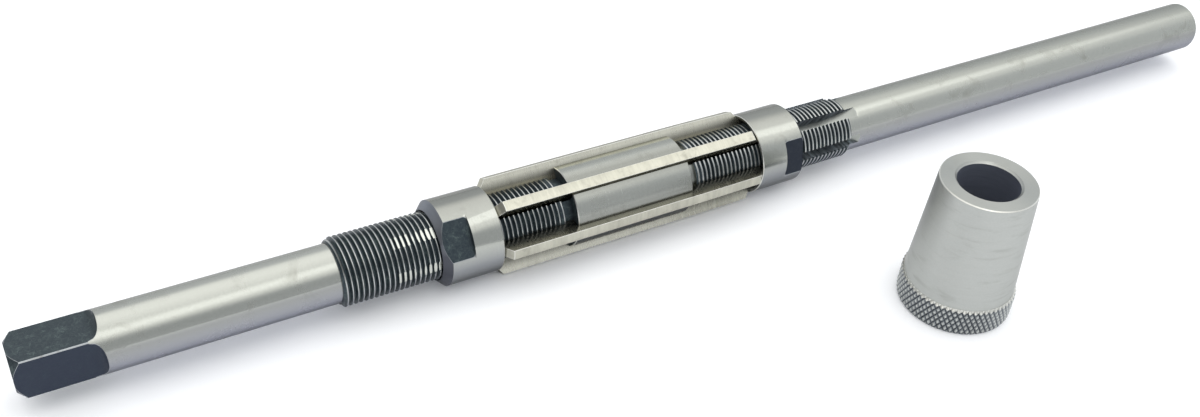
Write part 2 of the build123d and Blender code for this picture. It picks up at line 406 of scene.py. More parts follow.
def use_group(tree, name, place, **values):
    """Mask of a shared group, which is built when it is first asked for; _ in a name is a space."""
    group = bpy.data.node_groups.get(name) or make_group(name)
    inputs = {key.replace("_", " "): value for key, value in values.items()}
    return put(tree, "ShaderNodeGroup", {"Place": place, **inputs}, node_tree=group).outputs[0]


# Finishes

BAND_SHADE, UNDERSIDE_SHADE, NUT_UNDERSIDE_SHADE = (0.25, 0.255, 0.26), (0.35, 0.36, 0.42), (0.24, 0.25, 0.275)
BLUE_UNDERSIDE_SHADE, LOW_REFLECTION, DARK_SHADE = (0.40, 0.41, 0.485), (0.30, 0.31, 0.355), (0.05, 0.052, 0.065)
GREY_SHADE, TOP_EDGE_SHADE, TOP_HIGHLIGHT = (0.305, 0.31, 0.288), (0.30, 0.31, 0.285), (0.56, 0.57, 0.53)
# The last colour here is painted shade beside the blades.
GRAIN, STAIN, NEAR_BLADE_SHADE = (0.1, 0.1, 0.09), (0.16, 0.15, 0.12), (0.05, 0.05, 0.045)
KNURL_GROOVE_SHADE, RIM_STEEL = (0.13, 0.145, 0.17), (0.37, 0.39, 0.41)
BLACK_WEAR, BLUED_WEAR, LIT_SQUARE_WEAR = (0.075, 0.100, 0.096), (0.020, 0.022, 0.034), (0.026, 0.036, 0.052)
BLACK_SHINE = (0.70, 0.87, 1.0)


def new_material(name):
    """A material with its tree, its shader and the place on the object."""
    made = bpy.data.materials.new(name)
    made.use_nodes = True
    tree = made.node_tree
    return made, tree, tree.nodes["Principled BSDF"], put(tree, "ShaderNodeTexCoord").outputs["Object"]


def steel(name, tint, roughness, marks, mark_contrast=1.0, mark_tone=0.10, stain_size=6.0,
          stain_cover=0.25, stain_tone=0.22, stain_stretch=(1.0, 1.0, 1.0), relief=0.10, anisotropy=0.5,
          axis="X", grain_tone=0.05, near_blade_shade=None, shade_and_highlight_bands=(), rough_spread=0.05, edge=None, brushed=False):
    """Bare steel: fine tool marks, faint stains and grain over one tint.

    The blade shade, a mask with a share, paints shade beside the blades, as dark as the share.
    Bands of painted shade and highlight are given each as its axis, the places in millimetres where it
    starts and is full, its share and its colour.
    brushed marks run across the tool. edge is the shine left at a glancing angle.
    """
    made, tree, shader, place = new_material(name)
    edge = bpy.context.scene.finish_colours.edge_tint if edge is None else edge
    stretched = vector_math(tree, "MULTIPLY", place, stain_stretch)
    lines = use_group(tree, "Tool marks", place, Marks_per_metre=marks, Contrast=mark_contrast)
    stain = use_group(tree, "Handling stains", stretched, Size=stain_size * MM, Cover=stain_cover)
    grain = use_group(tree, "Mottle", place, Size=0.35 * MM)
    paint = blend_colours(tree, lines, toned(tint, 1 - mark_tone), toned(tint, 1 + mark_tone))
    paint = blend_colours(tree, remap(tree, grain, 0.0, 1.0, grain_tone, 0.0), paint, GRAIN)
    paint = blend_colours(tree, calc(tree, "MULTIPLY", stain, stain_tone), paint, STAIN)
    # Painted shade beside the blades: darker towards the blades' roots and next to each blade.
    if near_blade_shade:
        mask, share = near_blade_shade
        unshaded_share = use_group(tree, mask, place)
        paint = blend_colours(tree, remap(tree, unshaded_share, 0.0, 1.0, share, 0.0), paint, NEAR_BLADE_SHADE)
    # Painted shade and highlight in bands: darker or lighter by where a surface lies along one axis of the
    # object.
    for band_axis, start, full, share, band_colour in shade_and_highlight_bands:
        cover = remap(tree, split(tree, place)[band_axis], full * MM, start * MM, share, 0.0)
        paint = blend_colours(tree, cover, paint, band_colour)
    rough = remap(tree, lines, 0.0, 1.0, roughness - rough_spread, roughness + rough_spread)
    if brushed:
        sway = put(tree, "ShaderNodeTexNoise", {"Vector": place, "Scale": 300.0}).outputs["Color"]
        along_tool = (8.0, -0.5, -0.5)
        tangent = vector_math(tree, "ADD", sway, along_tool)
    else:
        quarter_turn = 0.25
        shader.inputs["Anisotropic Rotation"].default_value = quarter_turn
        tangent = put(tree, "ShaderNodeTangent", direction_type="RADIAL", axis=axis).outputs[0]
    feed(tree, shader, {
        "Base Color": paint,
        "Roughness": calc(tree, "ADD", rough, calc(tree, "MULTIPLY", stain, 0.08)),
        "Normal": bump(tree, lines, relief),
        "Metallic": 1.0,
        "Specular Tint": (edge, edge, edge, 1.0),
        "Anisotropic": anisotropy,
        "Tangent": tangent,
    })
    return made


def knurled(colours):
    """Knurled steel with painted shade in its grooves and a painted highlight on its points."""
    sizes = bpy.context.scene.bush_sizes
    made, tree, shader, place = new_material("Knurled steel")
    own = split(tree, vector_math(tree, "SUBTRACT", place, BUSH_FOOT))
    turn = calc(tree, "ARCTAN2", own["Y"], own["X"])
    around = calc(tree, "MULTIPLY", turn, sizes.knurl_count / (2 * pi))
    along = calc(tree, "DIVIDE", own["Z"], 4 * knurl_row(sizes)[1])
    waves = []
    for operation in ("ADD", "SUBTRACT"):
        share = calc(tree, "FRACT", calc(tree, operation, around, along))
        off_middle = calc(tree, "SUBTRACT", calc(tree, "MULTIPLY", share, 2.0), 1.0)
        waves.append(calc(tree, "SUBTRACT", 1.0, calc(tree, "ABSOLUTE", off_middle)))
    peak = calc(tree, "MINIMUM", *waves)
    grain = use_group(tree, "Mottle", place, Size=0.4 * MM)
    # Painted shade in the grooves and a painted highlight on the points, following the knurl's height.
    bright = calc(tree, "MULTIPLY", remap(tree, peak, 0.05, 0.75), remap(tree, grain, 0.0, 1.0, 0.8, 1.0))
    feed(tree, shader, {
        "Base Color": blend_colours(tree, bright, KNURL_GROOVE_SHADE, toned(colours.bush_steel, 1.35)),
        "Roughness": remap(tree, peak, 0.0, 1.0, 0.5, 0.34),
        "Normal": bump(tree, grain, 0.2, 0.04 * MM),
        "Metallic": 1.0,
    })
    return made


def knurl_row(sizes):
    """Number of knurl rows and the height of each, a quarter of the pattern's height."""
    period = 2 * pi * BUSH_RADIUS / sizes.knurl_count / tan(sizes.knurl_angle)
    rows = round(sizes.knurl_height / (period / 4))
    return rows, sizes.knurl_height / rows


def blackened(name, dark, pale, sheen):
    """Blackened steel with mottled, swirling wear; sheen is its specular level."""
    made, tree, shader, place = new_material(name)
    grain = use_group(tree, "Mottle", place, Size=0.55 * MM)
    cloud = use_group(tree, "Handling stains", place, Size=2.0 * MM, Cover=0.6)
    marks = use_group(tree, "Tool marks", place, Marks_per_metre=(900.0, 2600.0, 2600.0), Contrast=1.4)
    swirl = noise(tree, place, Scale=800.0, Detail=3.0, Roughness=0.55, Distortion=1.6)
    off_line = calc(tree, "MULTIPLY", calc(tree, "ABSOLUTE", calc(tree, "SUBTRACT", swirl, 0.5)), 16.0)
    line = calc(tree, "SUBTRACT", 1.0, off_line, clamp=True)
    streaky = calc(tree, "MAXIMUM", calc(tree, "MULTIPLY", grain, 0.55), line)
    worn = calc(tree, "MULTIPLY", streaky, remap(tree, cloud, 0.0, 1.0, 0.3, 1.0))
    feed(tree, shader, {
        "Base Color": blend_colours(tree, worn, dark, pale),
        "Roughness": remap(tree, grain, 0.0, 1.0, 0.30, 0.52),
        "Normal": bump(tree, calc(tree, "ADD", grain, marks), 0.25, 0.04 * MM),
        "Specular IOR Level": sheen,
        "Specular Tint": opaque(BLACK_SHINE),
    })
    return made


def dark_bore(colours):
    """Dark bore with the rings that a drill leaves."""
    made, tree, shader, place = new_material("Dark bore")
    marks = use_group(tree, "Tool marks", place, Marks_per_metre=(400.0, 400.0, 5000.0), Contrast=1.0)
    tint = colours.bore_finish
    feed(tree, shader, {
        "Base Color": blend_colours(tree, marks, toned(tint, 0.7), toned(tint, 1.3)),
        "Roughness": remap(tree, marks, 0.0, 1.0, 0.32, 0.5),
        "Normal": bump(tree, marks, 0.15),
        "Metallic": 0.6,
    })
    return made


def turned_steels(colours):
    """Steels of the round pieces, by name."""
    ground, polish = colours.ground_steel, colours.polish
    bar = dict(marks=(6000.0, 700.0, 700.0), relief=0.03, grain_tone=0.08)
    round_bar = dict(bar, tint=ground, roughness=polish, mark_contrast=1.3, mark_tone=0.05,
                     stain_cover=0.42, stain_tone=0.3, rough_spread=0.03)
    # Painted shade on the lower half of round bars: darkest a little above the axis, bluer towards the
    # bottom.
    lower_shading = (("Z", 2.6, 1.6, 0.75, BAND_SHADE), ("Z", 1.3, -2.0, 0.8, UNDERSIDE_SHADE))
    bush_top = BUSH_HIGH.z / MM
    return {
        # On the pilot the top edge gets painted shade; on the shank it gets a painted highlight.
        "ground": steel("Ground steel", **round_bar, shade_and_highlight_bands=(*lower_shading, ("Z", 5.4, 5.85, 0.38, TOP_EDGE_SHADE))),
        "shank": steel("Shank steel", **round_bar, shade_and_highlight_bands=(*lower_shading, ("Z", 5.3, 5.8, 0.45, TOP_HIGHLIGHT))),
        # Painted shade beside the blades and on the underside of the middle.
        "middle": steel(
            "Middle steel", toned(ground, 0.98), polish, **bar, mark_contrast=1.5, mark_tone=0.06,
            stain_cover=0.4, stain_tone=0.25, near_blade_shade=("Flute shade", 0.37), rough_spread=0.03,
            shade_and_highlight_bands=(("Z", -0.2, -0.6, 0.7, DARK_SHADE),)),
        # Painted shade on the nuts: a darker underside and a darker half towards the back of the tool.
        "nut": steel(
            "Nut steel", toned(ground, 0.98), polish - 0.08, **bar, mark_contrast=1.5, mark_tone=0.06,
            stain_size=4.0, stain_cover=0.4, stain_tone=0.2, rough_spread=0.04,
            shade_and_highlight_bands=(("Z", 3.0, -1.0, 0.8, NUT_UNDERSIDE_SHADE), ("Y", -4.8, -0.5, 0.8, GREY_SHADE))),
        # Painted shade on the nuts' chamfers: a darker tint, darker again below the top, with a painted
        # reflection lightening the bottom.
        "shade": steel(
            "Turned shade", colours.shade_steel, polish + 0.1, (6000.0, 300.0, 300.0), mark_tone=0.12,
            stain_cover=0.3, stain_tone=0.3, anisotropy=0.3,
            shade_and_highlight_bands=(("Z", 5.0, 2.5, 0.84, DARK_SHADE), ("Z", -2.0, -6.0, 0.5, LOW_REFLECTION))),
        # Painted shade darkens the bush's top face.
        "bush": steel(
            "Turned bush steel", colours.bush_steel, polish + 0.06, (300.0, 300.0, 3600.0),
            mark_contrast=1.3, mark_tone=0.06, stain_size=3.0, stain_cover=0.5, stain_tone=0.13,
            stain_stretch=(0.4, 0.4, 2.2), axis="Z", anisotropy=0.85, edge=0.7,
            shade_and_highlight_bands=(("Z", bush_top - 0.4, bush_top - 0.1, 0.42, GREY_SHADE),)),
    }


def milled_steels(colours):
    """Steels of threads, slots, blades and edges, by name."""
    polish = colours.polish
    small = dict(stain_size=2.0)
    brushed = dict(small, anisotropy=0.6, brushed=True)
    return {
        # Painted shade makes the crests darker and bluer on the underside.
        "crest": steel(
            "Thread crests", colours.crest_steel, polish + 0.04, (5000.0, 900.0, 900.0), **small,
            mark_tone=0.15, stain_cover=0.5, stain_tone=0.4, shade_and_highlight_bands=(("Z", 1.5, -4.0, 0.6, BLUE_UNDERSIDE_SHADE),)),
        "cut": steel(
            "Cut crests", toned(colours.ground_steel, 1.4), polish + 0.1, (900.0, 5000.0, 5000.0), **small,
            stain_cover=0.2, anisotropy=0.0),
        "slot": steel(
            "Milled slots", colours.slot_steel, polish + 0.1, (700.0, 7000.0, 7000.0), stain_cover=0.3,
            stain_tone=0.25, anisotropy=0.3),
        "wall": steel(
            "Slot walls", colours.wall_steel, polish + 0.34, (1900.0, 60.0, 60.0), mark_contrast=4.0,
            mark_tone=0.75, stain_cover=0.3, stain_tone=0.25, anisotropy=0.0, relief=0.4),
        "worn": steel(
            "Worn rims", RIM_STEEL, polish + 0.14, (3000.0, 3000.0, 3000.0), mark_tone=0.25,
            stain_size=1.5, stain_cover=0.5, stain_tone=0.35, anisotropy=0.0),
        "land": steel(
            "Blade lands", colours.land_steel, polish + 0.12, (1100.0, 160.0, 160.0), **brushed,
            mark_contrast=3.4, mark_tone=0.17, stain_cover=0.4, stain_tone=0.3, relief=0.2,
            grain_tone=0.06),
        # Painted shade on the blades' sides: darker at their roots and towards the front of the tool.
        "side": steel(
            "Blade sides", colours.side_steel, polish + 0.01, (1300.0, 160.0, 160.0),
            **dict(brushed, anisotropy=0.85), mark_contrast=2.2, mark_tone=0.12, stain_cover=0.35,
            stain_tone=0.25, relief=0.05, near_blade_shade=("Root shade", 0.75), edge=0.0,
            shade_and_highlight_bands=(("Y", -5.0, -7.5, 0.36, DARK_SHADE),)),
        "edge": steel(
            "Broken edges", colours.edge_steel, polish + 0.04, (900.0, 900.0, 900.0), **small,
            mark_tone=0.12, stain_cover=0.2, anisotropy=0.0, edge=0.8),
    }


FINISHES = {}


def finish_named(name):
    """A finish, made with all the others when the first is asked for."""
    if not FINISHES:
        colours = bpy.context.scene.finish_colours
        FINISHES.update(turned_steels(colours))
        FINISHES.update(milled_steels(colours))
        FINISHES.update({
            "knurl": knurled(colours),
            "black": blackened("Black finish", colours.black_finish, BLACK_WEAR, 0.5),
            "blued": blackened("Blued finish", colours.blued_finish, BLUED_WEAR, 0.3),
            # A lighter, bluer copy of the black finish, painted light for the flats that face front and
            # back.
            "square": blackened("Square blue finish", colours.lit_square_finish, LIT_SQUARE_WEAR, 0.3),
            "bore": dark_bore(colours),
        })
    return FINISHES[name]


# Mesh helpers

MERGE_DISTANCE, NO_LENGTH, NO_ANGLE = 1e-6, 1e-7, 1e-6
WIDEST_RIM = 0.8  # as a share of half a flat


def add_object(name, data):
    """Puts a mesh, lamp or camera into the scene."""
    made = bpy.data.objects.new(name, data)
    bpy.context.scene.collection.objects.link(made)
    return made


def skin(name, rings, finishes, other_diagonal=None, sharp=28):
    """A mesh over rings of points.

    rings holds ring, column and place. Its last column closes on the first, and its first and last
    rings are points or meet each other. finishes names each face's finish. Where other_diagonal is
    given, faces are cut into triangles, and it says which of them along their other diagonal. sharp is
    the angle of a hard edge in degrees.
    """
    rings = np.array(rings)
    count, columns = rings.shape[:2]
    index = np.arange(count * columns).reshape(count, columns)
    corners = np.stack((index[:-1, :-1], index[1:, :-1], index[1:, 1:], index[:-1, 1:]), axis=-1)
    corners = faces = corners.reshape(-1, 4)
    finishes = np.array(finishes).reshape(-1)
    if other_diagonal is not None:
        other = other_diagonal.reshape(-1, 1)
        first = np.where(other, corners[:, [0, 1, 3]], corners[:, [0, 1, 2]])
        second = np.where(other, corners[:, [1, 2, 3]], corners[:, [0, 2, 3]])
        faces = np.concatenate((first, second))
        finishes = np.concatenate((finishes, finishes))
    used, numbers = np.unique(finishes, return_inverse=True)
    mesh = bpy.data.meshes.new(name)
    mesh.from_pydata(rings.reshape(-1, 3).tolist(), [], faces.tolist())
    mesh.polygons.foreach_set("material_index", numbers.astype(np.int32))
    for finish in used:
        mesh.materials.append(finish_named(finish))
    work = bmesh.new()
    work.from_mesh(mesh)
    bmesh.ops.remove_doubles(work, verts=work.verts, dist=MERGE_DISTANCE)
    bmesh.ops.dissolve_degenerate(work, edges=work.edges, dist=NO_LENGTH)
    bmesh.ops.recalc_face_normals(work, faces=work.faces)
    for face in work.faces:
        face.smooth = True
    work.to_mesh(mesh)
    work.free()
    mesh.set_sharp_from_angle(angle=radians(sharp))
    return add_object(name, mesh)


def soften(piece, width, finish=None):
    """Rounds the sharp edges a little, as a stone does, and may give them a finish of their own."""
    modifier = piece.modifiers.new("Edge break", "BEVEL")
    if finish:
        piece.data.materials.append(finish_named(finish))
        modifier.material = len(piece.data.materials) - 1
    modifier.width = width
    modifier.segments = 2
    modifier.limit_method = "ANGLE"
    modifier.angle_limit = radians(35)
    modifier.harden_normals = True
    modifier.use_clamp_overlap = True


def stand_for(piece, body, *nodes, slot):
    """Seats a piece on its body in place of the frame's nodes."""
    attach(piece, body)
    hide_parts(*nodes)


def around_axis(x, height, aside, centre):
    """Points at a height over the axis and a distance aside of a plane through it at an angle."""
    y = height * np.cos(centre) - aside * np.sin(centre)
    z = height * np.sin(centre) + aside * np.cos(centre)
    return np.stack(np.broadcast_arrays(x, y, z), axis=-1)


ROUND, FLAT, RIM = range(3)


class FlattedBar:
    """Rings of a round bar with equal flats, each with its mark."""

    def __init__(self, flats, flat_steps, round_steps, rim, turn=0.0):
        self.flats, self.flat_steps, self.round_steps = flats, flat_steps, round_steps
        self.rim, self.turn = rim, turn
        self.rings, self.marks = [], []
        self.lies_on = ([RIM] + [FLAT] * (flat_steps - 2) + [RIM] + [ROUND] * round_steps) * flats

    def add(self, x, radius, mark, flat_radius=None, half_angle=None):
        """One ring, round where flat_radius is None; half_angle is half of what a flat's columns span."""
        if half_angle is None:
            half_angle = acos(min(1.0, flat_radius / radius))
        inner = 1 - min(WIDEST_RIM, self.rim / max(radius, MM) / max(half_angle, NO_ANGLE))
        across = [-1.0, *np.linspace(-inner, inner, self.flat_steps - 1)]
        share = 2 * pi / self.flats
        angles = []
        for flat in range(self.flats):
            centre = flat * share
            angles += [centre + half_angle * place for place in across]
            angles += [centre + half_angle + (share - 2 * half_angle) * step / self.round_steps
                       for step in range(self.round_steps)]
        angles = np.array([*angles, 2 * pi - half_angle])
        radii = np.full(len(angles), radius)
        if flat_radius:
            from_flat = np.abs((angles + share / 2) % share - share / 2)
            radii = np.minimum(radii, flat_radius / np.cos(from_flat))
        self.rings.append(around_axis(x, radii, 0.0, angles + self.turn))
        self.marks.append(mark)

    def finishes(self, plans):
        """Finish of each face, where plans says what a mark means on round, flat and rim."""
        return np.array([[plans.get(mark, (mark,) * 3)[kind] for kind in self.lies_on]
                         for mark in self.marks[:-1]])


# Driving square and shank

def centre_hole(sizes):
    """Depth and radius of the corners of a centre hole, from its mouth to its bottom."""
    cone = (sizes.centre_radius - sizes.centre_drill_radius) / tan(radians(30))
    depth = sizes.centre_drill_depth
    return ((0.0, sizes.centre_radius), (cone, sizes.centre_drill_radius),
            (depth, sizes.centre_drill_radius), (depth, 0.0))


def shank_bar(sizes):
    """Rings from the bottom of the centre hole over the square to the end at the thread."""
    bar = FlattedBar(flats=4, flat_steps=10, round_steps=10, rim=sizes.rim)
    even = radians(22.5)
    chamfer_steps, runout_steps, spread_steps = 6, 16, 6
    spread_step = 0.6 * MM
    for depth, radius in reversed(centre_hole(sizes)):
        bar.add(depth, radius, "bore" if depth else "black", half_angle=even)
    for step in range(chamfer_steps + 1):
        x = sizes.chamfer * step / chamfer_steps
        mark = "chamfer" if step < chamfer_steps else "flat"
        bar.add(x, sizes.radius - sizes.chamfer + x, mark, sizes.flat_height)
    bar.add(sizes.flat_length, sizes.radius, "runout", sizes.flat_height)
    full = acos(sizes.flat_height / sizes.radius)
    step_top = sizes.flat_height + sizes.runout_radius
    for step in range(1, runout_steps + 1):
        half_angle = full * (1 - step / runout_steps)
        height = sizes.radius * cos(half_angle)
        reach = sqrt(1 - ((step_top - height) / sizes.runout_radius) ** 2)
        x = sizes.flat_length + sizes.runout_radius * reach
        bar.add(x, sizes.radius, "runout" if step < runout_steps else "shank", height, half_angle)
    for step in range(1, spread_steps + 1):
        bar.add(x + step * spread_step, sizes.radius, "shank", half_angle=even * step / spread_steps)
    bar.add(sizes.end, sizes.radius, "black", half_angle=even)
    bar.add(sizes.end, 0.0, "black", half_angle=even)
    return bar


# Threaded body and pilot

POLISHED, SHALLOW, DEEP = 1, 2, 3  # how far a slot cuts a crest
FLANK = tan(radians(30))
OUT_OF_REACH = 1.0


class BodyShape:
    """Works out the slotted, threaded body ring by ring."""

    def __init__(self, sizes):
        self.sizes = sizes
        self.root = sizes.thread_radius - sizes.thread_depth
        self.slope = 1 / sizes.slot_run
        tilt = atan(self.slope)
        self.arc_x = sizes.slot_floor_end + sizes.slot_cutter_radius * sin(tilt)
        self.arc_height = self.straight_floor(sizes.slot_floor_end) + sizes.slot_cutter_radius * cos(tilt)
        self.rings, self.finish = [], []
        self.columns = self.make_columns()

    def straight_floor(self, x):
        """Height of the straight slot floor over the axis."""
        return self.sizes.thread_radius - (x - self.sizes.slot_start) * self.slope

    def slot_floor(self, x):
        """Height of the slot floor over the axis, out of reach before the slot starts."""
        sizes = self.sizes
        if x < sizes.slot_start:
            return OUT_OF_REACH
        if x <= sizes.slot_floor_end:
            return self.straight_floor(x)
        return self.arc_height - sqrt(max(sizes.slot_cutter_radius ** 2 - (x - self.arc_x) ** 2, 0.0))

    def arc_reach(self, height):
        """Where the slot's end arc comes up to a height."""
        return sqrt(self.sizes.slot_cutter_radius ** 2 - (self.arc_height - height) ** 2) + self.arc_x

    def make_columns(self):
        """Columns round the body: kind, distance aside of the slot's middle, its angle, and their own."""
        radius, half = self.sizes.thread_radius, self.sizes.slot_half_width
        edge = asin(half / radius)
        share = 2 * pi / BLADES
        round_steps = 10
        columns = []
        for slot in range(BLADES):
            centre = slot * share
            for aside in (-half, -half / 3, half / 3, half):
                columns.append(("floor", aside, centre, centre + asin(aside / radius)))
            columns.append(("edge", half, centre, centre + edge))
            for step in range(1, round_steps):
                turn = centre + edge + (share - 2 * edge) * step / round_steps
                columns.append(("round", 0.0, turn, turn))
            columns.append(("edge", -half, centre + share, centre + share - edge))
        columns.append(("floor", -half, 2 * pi, 2 * pi - edge))
        return columns

    def shifted(self, x, radius, aside, side):
        """Place where a thread's edge meets the slot floor, and whether the slot has brushed the crest."""
        sizes = self.sizes
        reach = max(self.root, min(radius, sqrt(self.slot_floor(x) ** 2 + aside ** 2)))
        widening = 2 * (radius - reach) * FLANK
        polished = 0 < x - sizes.slot_start + sizes.polish_length < 2 * sizes.polish_length
        if polished:
            widening = max(widening, sizes.burr * sizes.thread_pitch)
        return x + side * min(widening, sizes.widest * sizes.thread_pitch), POLISHED * polished

    def add_ring(self, x, radius, finish, sides=None, circle=False):
        """One ring; x and radius hold one value for each column, or one for all."""
        count = len(self.columns)
        x, radius = np.full(count, x, float), np.full(count, radius, float)
        points, cut = np.zeros((count, 3)), np.zeros(count, int)
        for number, (kind, aside, centre, turn) in enumerate(self.columns):
            if circle or kind == "round":
                points[number] = around_axis(x[number], radius[number], 0.0, turn)
                continue
            height = sqrt(max(radius[number] ** 2 - aside ** 2, 0.0))
            if kind == "floor":
                if sides is not None:
                    x[number], cut[number] = self.shifted(x[number], radius[number], aside, sides[number])
                floor_height = self.slot_floor(x[number])
                if floor_height < height:
                    cut[number] = SHALLOW if floor_height > self.root else DEEP
                    height = floor_height
            points[number] = around_axis(x[number], height, aside, centre)
        self.rings.append(points)
        self.finish.append((finish, cut))

    def add_thread(self, start, end, crest, groove_at_start):
        """Rings that follow the helix of a thread between its groove and its chamfered end."""
        sizes = self.sizes
        pitch, shoulder = sizes.thread_pitch, sizes.crest_shoulder
        shoulder_depth, least_depth, half_pitch = 0.05, 0.12, 0.499
        flank = min(sizes.thread_depth * FLANK / pitch, half_pitch - shoulder - crest / 2)
        crest_end = 2 * shoulder + crest
        knots = np.array((0.0, shoulder, shoulder + crest, crest_end, crest_end + flank, 1 - flank, 1.0))
        depths = np.array((shoulder_depth, 0.0, 0.0, shoulder_depth, 1.0, 1.0, shoulder_depth))
        finishes = ["crest"] * 3 + ["black"] * 3
        sides = (-1, 0, 0, 1, 0, 0)
        turns = np.array([column[3] for column in self.columns]) / (2 * pi)
        for lead in range(-2, ceil((end - start) / pitch) + 2):
            for knot, depth, finish, side in zip(knots, depths, finishes, sides):
                x = start + pitch * (lead + knot + turns)
                if x.min() > end and knot > 0:
                    continue
                inside = (x > start) & (x < end)
                x = np.clip(x, start, end)
                on_thread = np.mod((x - start) / pitch - turns, 1.0)
                cut = np.where(inside, depth, np.interp(on_thread, knots, depths))
                from_groove, from_outside = x - start, end - x
                if not groove_at_start:
                    from_groove, from_outside = from_outside, from_groove
                cut = cut * np.clip(from_groove / sizes.thread_runout, least_depth, 1.0)
                radius = np.minimum(sizes.thread_radius - sizes.thread_depth * cut,
                                    sizes.thread_radius - sizes.thread_chamfer + from_outside)
                self.add_ring(x, radius, finish, sides=np.where(inside, side, 0))

    def pilot_stations(self):
        """Places of the pilot's rings, close together where the slots run out of it."""
        sizes = self.sizes
        floor_steps, tip_steps = 8, 5
        first = sizes.pilot_thread_end
        wide = self.arc_reach(sqrt(sizes.pilot_radius ** 2 - sizes.slot_half_width ** 2))
        tip = self.arc_reach(sizes.pilot_radius)
        return [
            *(first + (wide - first) * step / floor_steps for step in range(floor_steps + 1)),
            *(wide + (tip - wide) * step / tip_steps for step in range(1, tip_steps + 1)),
            tip + 0.6 * MM, TOOL_END - sizes.pilot_chamfer]

    def build(self):
        """All rings from the shank's shoulder to the bottom of the pilot's centre hole."""
        sizes, shank = self.sizes, bpy.context.scene.shank_sizes
        groove, edge = sizes.groove_radius, sizes.middle_radius - sizes.middle_chamfer
        shoulder = shank.radius - 0.2 * MM
        self.add_ring(shank.end, 0.0, "black", circle=True)
        self.add_ring(shank.end, shoulder, "black")
        self.add_thread(shank.end, sizes.shank_thread_end, sizes.shank_crest, groove_at_start=False)
        for x, radius, finish in (
            (sizes.shank_thread_end, groove, "black"),
            (sizes.middle_start, groove, "black"),
            (sizes.middle_start, edge, "edge"),
            (sizes.middle_start + sizes.middle_chamfer, sizes.middle_radius, "middle"),
            (sizes.middle_end - sizes.middle_chamfer, sizes.middle_radius, "edge"),
            (sizes.middle_end, edge, "slot"),
            (sizes.middle_end, groove, "slot"),
            (sizes.pilot_thread_start, groove, "slot"),
        ):
            self.add_ring(x, radius, finish)
        self.add_thread(sizes.pilot_thread_start, sizes.pilot_thread_end, sizes.pilot_crest,
                        groove_at_start=True)
        for x in self.pilot_stations():
            self.add_ring(x, sizes.pilot_radius, "ground")
        self.add_ring(TOOL_END, sizes.pilot_radius - sizes.pilot_chamfer, "ground", circle=True)
        for depth, radius in centre_hole(shank):
            self.add_ring(TOOL_END - depth, radius, "bore", circle=True)

    def finishes(self):
        """Finish of each face, from its ring and from whether the slot cuts it."""
        kinds = [column[0] for column in self.columns]
        pairs = list(zip(kinds[:-1], kinds[1:]))
        walls = np.array([set(pair) == {"floor", "edge"} for pair in pairs])
        floors = np.array([pair == ("floor", "floor") for pair in pairs])
        table = []
        for (finish, cut), (_, cut_next) in zip(self.finish[:-1], self.finish[1:]):
            states = np.array((cut[:-1], cut[1:], cut_next[:-1], cut_next[1:]))
            least, most = states.min(axis=0), states.max(axis=0)
            row = np.where(floors & (least >= SHALLOW), "slot", finish)
            if finish == "crest":
                row = np.where(floors & (least >= POLISHED) & (most < DEEP), "cut", row)
            table.append(np.where(walls, "wall", row))
        return np.array(table)


# Blades

def blade_rings(sizes, body, turn):
    """Rings of one blade from its shank-side bevel to its pilot-side bevel."""
    radius, half = sizes.cutting_radius, sizes.thickness / 2
    slope = tan(sizes.bevel_angle)
    depth = (radius - sizes.root_radius) / slope
    lift = sizes.floor_clearance / cos(atan(1 / body.slot_run))
    stations = (
        (sizes.land_start - depth, sizes.root_radius),
        (sizes.land_start - sizes.relief_drop / slope, radius - sizes.relief_drop),
        (sizes.land_start, radius),
        (sizes.land_end - sizes.taper_length, radius),
        (sizes.land_end + sizes.taper_drop / slope, radius - sizes.taper_drop),
        (sizes.land_end + depth, sizes.root_radius),
    )
    crown = half * 0.6
    tops = ((half, sqrt(radius ** 2 - half ** 2)), (crown, sqrt(radius ** 2 - crown ** 2)),
            (sizes.relief_width - half, radius), (-half, radius - sizes.relief_drop))
    rings = []
    for x, height in stations:
        bottom = body.thread_radius - (x - body.slot_start) / body.slot_run + lift
        outline = [(-half, bottom), (half, bottom), *((aside, min(height, top)) for aside, top in tops)]
        asides, heights = np.array([*outline, outline[0]]).T
        rings.append(around_axis(x, heights, asides, turn))
    ends = [np.broadcast_to(ring.mean(axis=0), ring.shape) for ring in (rings[0], rings[-1])]
    return np.array([ends[0], *rings, ends[1]])


# Nuts

